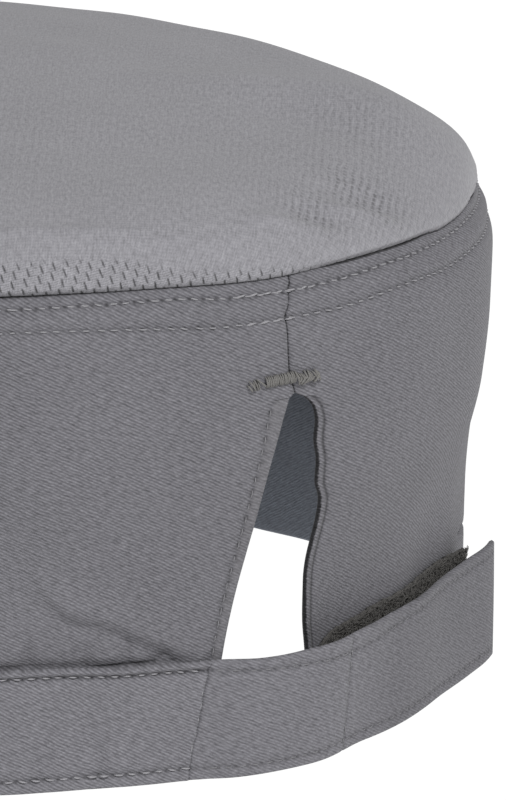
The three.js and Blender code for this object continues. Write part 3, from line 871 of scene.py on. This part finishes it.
def band():
    z = spread(0, .14, .56, .75, BAND_HEIGHT - 2.2, .2, BAND_HEIGHT - .6, .1, BAND_HEIGHT)[:, None]
    start = joint_place(z) + .02
    length = ROUND - BAND_START - start
    share = spread(0, .14, .56, .8, 100, 2.4, ROUND - BAND_START - 20)
    share = share / share[-1]
    s = start + share[None] * length
    z = np.broadcast_to(z, s.shape)
    relief = sum(rise * bump(z - at, reach) for at, reach, rise in BAND_RELIEF) + puckers(s, z, BAND_PUCKERS)
    relief = relief + .12 * np.sin(2 * np.pi * s / PITCH) * (bump(z - 3.1, .8) + bump(z - 18.2, .8))
    relief = relief + .16 * bump(s - start - .5, .5)
    rows = (row_layer(s / PITCH, z - ROW_BAND_TOP), row_layer(s / PITCH + .5, z - ROW_BAND_LOW))
    return flat_cloth("band_cloth", "hem_band", s, z, CLEARANCE + BAND_CLOTH / 2, BAND_CLOTH,
                      band_cloth, rows, relief, top=BAND_TOP)


LOOP_TOP = CLEARANCE + LOOP_PILE
STACK_TOP = LOOP_TOP + CLEARANCE + HOOK_TAPE + CLEARANCE


def strap_inner(share, height):
    """How far the strap's inner face stands off the wall."""
    low, high = curve(STRAP_LIFT, 1, share), curve(STRAP_LIFT, 2, share)
    lift = low + (high - low) * height / BAND_HEIGHT
    return CLEARANCE + (STACK_TOP - CLEARANCE) * lift


def strap_share(s, z):
    """The share of the way to the strap's tail."""
    start = slit_edge("left", z) + STRAP_INSET
    tail = angle_of(np.array(-TAIL_REACH))
    first = angle_of(start)
    return np.clip((first - angle_of(s)) / (first - tail), 0, 1)


def patch_place(z):
    """How far past the back seam the stitch line across the strap lies."""
    return 13.2 + (z - 8) * .03


def strap():
    z = spread(0, .14, .56, .7, BAND_HEIGHT - .6, .15, BAND_HEIGHT)[:, None]
    start = joint_place(z)
    share = spread(0, .2, 2.4, .65, 85, .14, 85.6)
    share = share / share[-1]
    s = start + TUCK - share[None] * (start + TUCK + TAIL_REACH)
    z = np.broadcast_to(z, s.shape)
    top = curve(STRAP_ROW_TOP, 1, s)
    tail_end = smooth(s + TAIL_REACH, 2, 10)
    relief = tail_end * (.08 * bump(z - 19.9, .62) - .10 * bump(z - top, .5)
                         - .12 * bump(z - ROW_STRAP_LOW, .5) + .08 * bump(z - .8, .8))
    joint, patch = s - start, s + patch_place(z)
    relief += .12 * bump(joint + 1.9, .8) - .70 * smooth(joint, -.35, .35) - .14 * bump(patch, .4)
    relief += puckers(joint, z, STRAP_PUCKERS)
    relief += .16 * np.sin(s / 2.9 + z / 9) * bump(s + 20, 16) * smooth(z, 2, 8)
    rows = (row_layer(s / PITCH, z - top), row_layer(s / PITCH + .3, z - ROW_STRAP_LOW),
            row_layer(z / PITCH, patch))
    inner = strap_inner(strap_share(s, z), z)
    return flat_cloth("strap_cloth", "adjust_strap", s, z, inner + BAND_CLOTH / 2, BAND_CLOTH,
                      strap_cloth, rows, relief, top=BAND_TOP)


band_piece = band()
strap_piece = strap()


def sweatband():
    z = spread(0, .2, .5, 1.5, SWEAT_HEIGHT - .5, .25, SWEAT_HEIGHT)[:, None]
    inset = SLIT_HEM + CLEARANCE
    left, rightward = slit_edge("left", z) + inset, slit_edge("right", z) + inset
    share = np.linspace(0, 1, 300)[None]
    s = left + share * (ROUND - rightward - left)
    rows = (row_layer(s / PITCH, z - ROW_SWEAT),)
    return flat_cloth("sweatband_cloth", "sweatband", s, z, INSIDE - LINING / 2, LINING, slate_cloth,
                      rows)


def slit_hem(side):
    z = spread(0, .25, .5, 1.2, SLIT_HEIGHT - .5, .25, SLIT_HEIGHT)[:, None]
    inset = HEM_INSET if side == "right" else 0
    share = spread(0, .04, .16, .08, .92, .04, 1)[None]
    s = slit_edge(side, z) + inset + share * (SLIT_HEM - inset)
    # painted shade with near black overlock along the right hem's edge
    edge = np.broadcast_to(share * SLIT_HEM - .9 if side == "right" else FAR, s.shape)
    s = s if side == "left" else -s
    return flat_cloth(f"hem_{side}", f"slit_hem_{side}", s, z, INSIDE - HEM_CLOTH / 2, HEM_CLOTH, hem_cloth,
                      edge=edge)


sweat_piece = sweatband()
hem_pieces = [slit_hem("left"), slit_hem("right")]


def tape_height(s, share):
    """Heights on the loop tape, whose upper edge is ragged."""
    high = curve(TAPE_TOP, 1, -s) + .16 * np.sin(2.3 * s) * np.sin(1.1 * s + 1) + .10 * np.sin(5.9 * s)
    return LOOP_BOTTOM + share * (high - LOOP_BOTTOM)


def tape_lift(s, z):
    """The far end of the tape lifts off the wall at its upper corner."""
    return .8 * smooth(-s, 60, LOOP_END) * smooth(z, 13, 21)


def loop_tape():
    share, s = np.broadcast_arrays(np.linspace(0, 1, 54)[:, None], -spread(LOOP_START, .35, LOOP_END)[None])
    z = tape_height(s, share)
    lump = .20 * np.sin(s * 3.1 + 1.7 * np.sin(z * 1.3)) * np.sin(z * 2.9 + 1.1 * np.sin(s * 1.7))
    lump = lump + rng.normal(0, .09, s.shape)
    mid = CLEARANCE + LOOP_PILE / 2 + tape_lift(s, z)
    return flat_cloth("loop_tape_cloth", "loop_tape", s, z, mid, LOOP_PILE, pile_cloth, relief=lump)


def loop_fuzz(count=7000, joints=4):
    """Tiny curled fibres over the upper half of the loop tape."""
    s = -rng.uniform(LOOP_START + .3, LOOP_END - .2, (count, 1))
    share = 1 - rng.beta(1, 2.2, (count, 1)) * .75
    z = tape_height(s, share)
    turn = rng.uniform(0, 2 * np.pi, (count, 1))
    t = np.linspace(0, 1, joints)[None]
    long = rng.uniform(.35, .8, (count, 1))
    along = s + long * (np.cos(turn) * t + .35 * np.sin(3 * t + turn) * t)
    up = z + long * (np.sin(turn) * t * .8 + .3 * np.cos(3 * t + turn) * t)
    out = CLEARANCE + LOOP_PILE + tape_lift(s, z) - .12 + long * .75 * np.sin(t * 2.6)
    points, faces = tubes(np.stack([along, up, out], -1), .055 * np.array([1, 1, .8, .5]), 3)
    return make("loop_fibres", on_wall(points), faces, fuzz)


def hook_tape():
    z = spread(HOOK_MARGIN, .8, BAND_HEIGHT - HOOK_MARGIN)[:, None]
    s = -spread(HOOK_START, .9, TAIL_REACH - HOOK_MARGIN)[None]
    outer = strap_inner(strap_share(s, z), z) - CLEARANCE
    return flat_cloth("hook_tape_cloth", "hook_tape", s, z, outer - HOOK_TAPE / 2, HOOK_TAPE, hook_cloth)


tape_pieces = [loop_tape(), hook_tape()]
loop_fuzz()


# Threads.

def stitch_row(name, place, count, out, thick, material, long=1.45, slant=.08):
    """A row of stitches: place(t) gives along and height for t in stitches."""
    index = np.arange(count)[:, None]
    centre = index + rng.normal(0, .04, (count, 1))
    t = np.linspace(-.5, .5, 5)[None] * long / PITCH * (1 + rng.normal(0, .10, (count, 1)))
    s, z = place(centre + t)
    tilt = (slant + rng.normal(0, .06, (count, 1))) * np.linspace(-1, 1, 5)[None]
    height = out(s, z) if callable(out) else out
    sunk = rng.normal(0, .045, (count, 1))
    rise = .08 - .34 * np.abs(np.linspace(-1, 1, 5)[None]) ** 2.2 + sunk
    radius = thick * np.array([.55, .95, 1.05, .95, .55])
    points, faces = tubes(np.stack([s, z + tilt, height + rise], -1), radius)
    make(f"stitches_{name}", on_wall(points), faces, material)


def upright(start, along):
    """Places for a row of stitches that stands up, where along gives its place at a height."""
    return lambda t: (along(t * PITCH + start), t * PITCH + start)


def strap_out(s, z):
    return strap_inner(strap_share(s, z), z) + BAND_CLOTH - .12


def level(start, step, row, lift=0, stretched=False):
    """Places for a level row of stitches: row is a height or a table of heights."""
    def place(t):
        s = start + t * step
        height = (top_row(s, row) if isinstance(row, list) else row + 0 * s) + lift
        return s, stretch(height, s, BAND_TOP) if stretched else height
    return place


whole = int(ROUND / PITCH)
fit = ROUND / whole
band_out = CLEARANCE + BAND_CLOTH - .10
band_stitches = int((ROUND - BAND_START - 19) / PITCH)
for name, place, count, out, thick, material in (
        ("seam", level(0, fit, ROW_TOP), whole, -.14, .135, row_sewing),
        ("allowance", level(0, fit, ROW_LOW), whole, -.14, .135, row_sewing),
        ("band_top", level(15.4, PITCH, ROW_BAND_TOP, stretched=True), band_stitches, band_out, .155, sewing),
        ("band_low", level(17.0, PITCH, ROW_BAND_LOW), band_stitches, band_out, .155, sewing),
        ("strap_top", level(11.0, -PITCH, STRAP_ROW_TOP, stretched=True), 33, strap_out, .10, sunk_sewing),
        ("strap_low", level(12.5, -PITCH, ROW_STRAP_LOW), 36, strap_out, .10, sunk_sewing),
        ("patch", upright(1.6, lambda z: -patch_place(z)), 8, strap_out, .10, sunk_sewing),
        ("joint", upright(1.2, lambda z: joint_place(z) + .35), 8, band_out + .1, .12, row_sewing),
        ("slit", upright(21, lambda z: slit_edge("left", z) + curve(SLIT_ROW, 1, z)), 19, -.16, .11,
         sunk_sewing),
        ("sweatband", level(18, 3.5, ROW_SWEAT), 150, INSIDE - LINING - .08, .155, sewing)):
    stitch_row(name, place, count, out, thick, material)
# Where the two rows under the seam begin and end, a second run of stitches lies on the first.
stitch_row("seam_end", level(8.2, -PITCH, ROW_TOP, .14), 6, -.1, .155, sewing, 1.7)
stitch_row("allowance_end", level(7.2, -PITCH, ROW_LOW, -.12), 4, -.1, .155, sewing, 1.7)

TACK_ROWS = [  # threads from and to along the wall, count, from and to up, length, lean, out, scatter
    (5.2, .4, 17, .95, 1.25, 1.9, .10, .25, .05), (.2, -3.5, 12, 1.1, 1.1, 1.8, .30, .30, .16),
    (-.2, -3.4, 8, .8, .8, 1.1, -.5, .45, .25), (7.9, 6.0, 6, .3, .8, 1.6, .45, .10, .22)]


def bar_tack():
    """A close row of short threads at the left, a looser heap at the right, and loops at the left end."""
    k = np.linspace(-1, 1, 7)[None]
    strands = []
    for start, end, count, low, high, tall, lean, out, scatter in TACK_ROWS:
        along = np.linspace(start, end, count)[:, None]
        up = SLIT_HEIGHT + TACK_RISE + np.linspace(low, high, count)[:, None]
        loose = rng.normal(0, scatter, (4, count, 1))
        strands.append(np.stack([along + k * (lean + loose[0]),
                                 up + loose[1] * .6 + k * tall / 2 * (1 + loose[2]),
                                 out + .5 * (1 - np.abs(k) ** 3) + loose[3] * .8], -1))
    points, faces = tubes(np.concatenate(strands), .155 * np.array([.6, .9, 1, 1, 1, .9, .6]))
    piece = make("bar_tack_threads", on_wall(points), faces, tack_thread)
    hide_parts("bar_tack")


bar_tack()

# Floor and light: a floor that glows white, as the photograph's does, and even light all round.
FLOOR_GLOW, SKY, KEY, FILL = 1.02, .40, 55, 1
scene.view_settings.view_transform = "Standard"
floor_mesh = bpy.data.meshes.new("floor")
floor_mesh.from_pydata([(-6, -6, 0), (6, -6, 0), (6, 6, 0), (-6, 6, 0)], [], [(0, 1, 2, 3)])
floor = bpy.data.objects.new("floor", floor_mesh)
scene.collection.objects.link(floor)
white = Nodes("floor_white")
white.shader.inputs["Emission Color"].default_value = (1, 1, 1, 1)
white.shader.inputs["Emission Strength"].default_value = FLOOR_GLOW
floor_mesh.materials.append(white.finish((.02, .02, .02, 1), rough=.9, specular=0))


def area_light(name, at, size, power):
    data = bpy.data.lights.new(name, "AREA")
    data.shape, data.size, data.energy = "DISK", size, power
    obj = bpy.data.objects.new(name, data)
    obj.matrix_world = (Matrix.Translation(Vector(at))
                        @ (Vector((0, 0, .06)) - Vector(at)).to_track_quat("-Z", "Y").to_matrix().to_4x4())
    scene.collection.objects.link(obj)


area_light("key", (.65, 2.0, 2.2), .8, KEY)
area_light("fill", (-.6, 2.2, 1.2), 1.6, FILL)
world = bpy.data.worlds.new("studio")
world.use_nodes = True
world.node_tree.nodes["Background"].inputs[0].default_value = (1, 1, 1, 1)
world.node_tree.nodes["Background"].inputs[1].default_value = SKY
scene.world = world
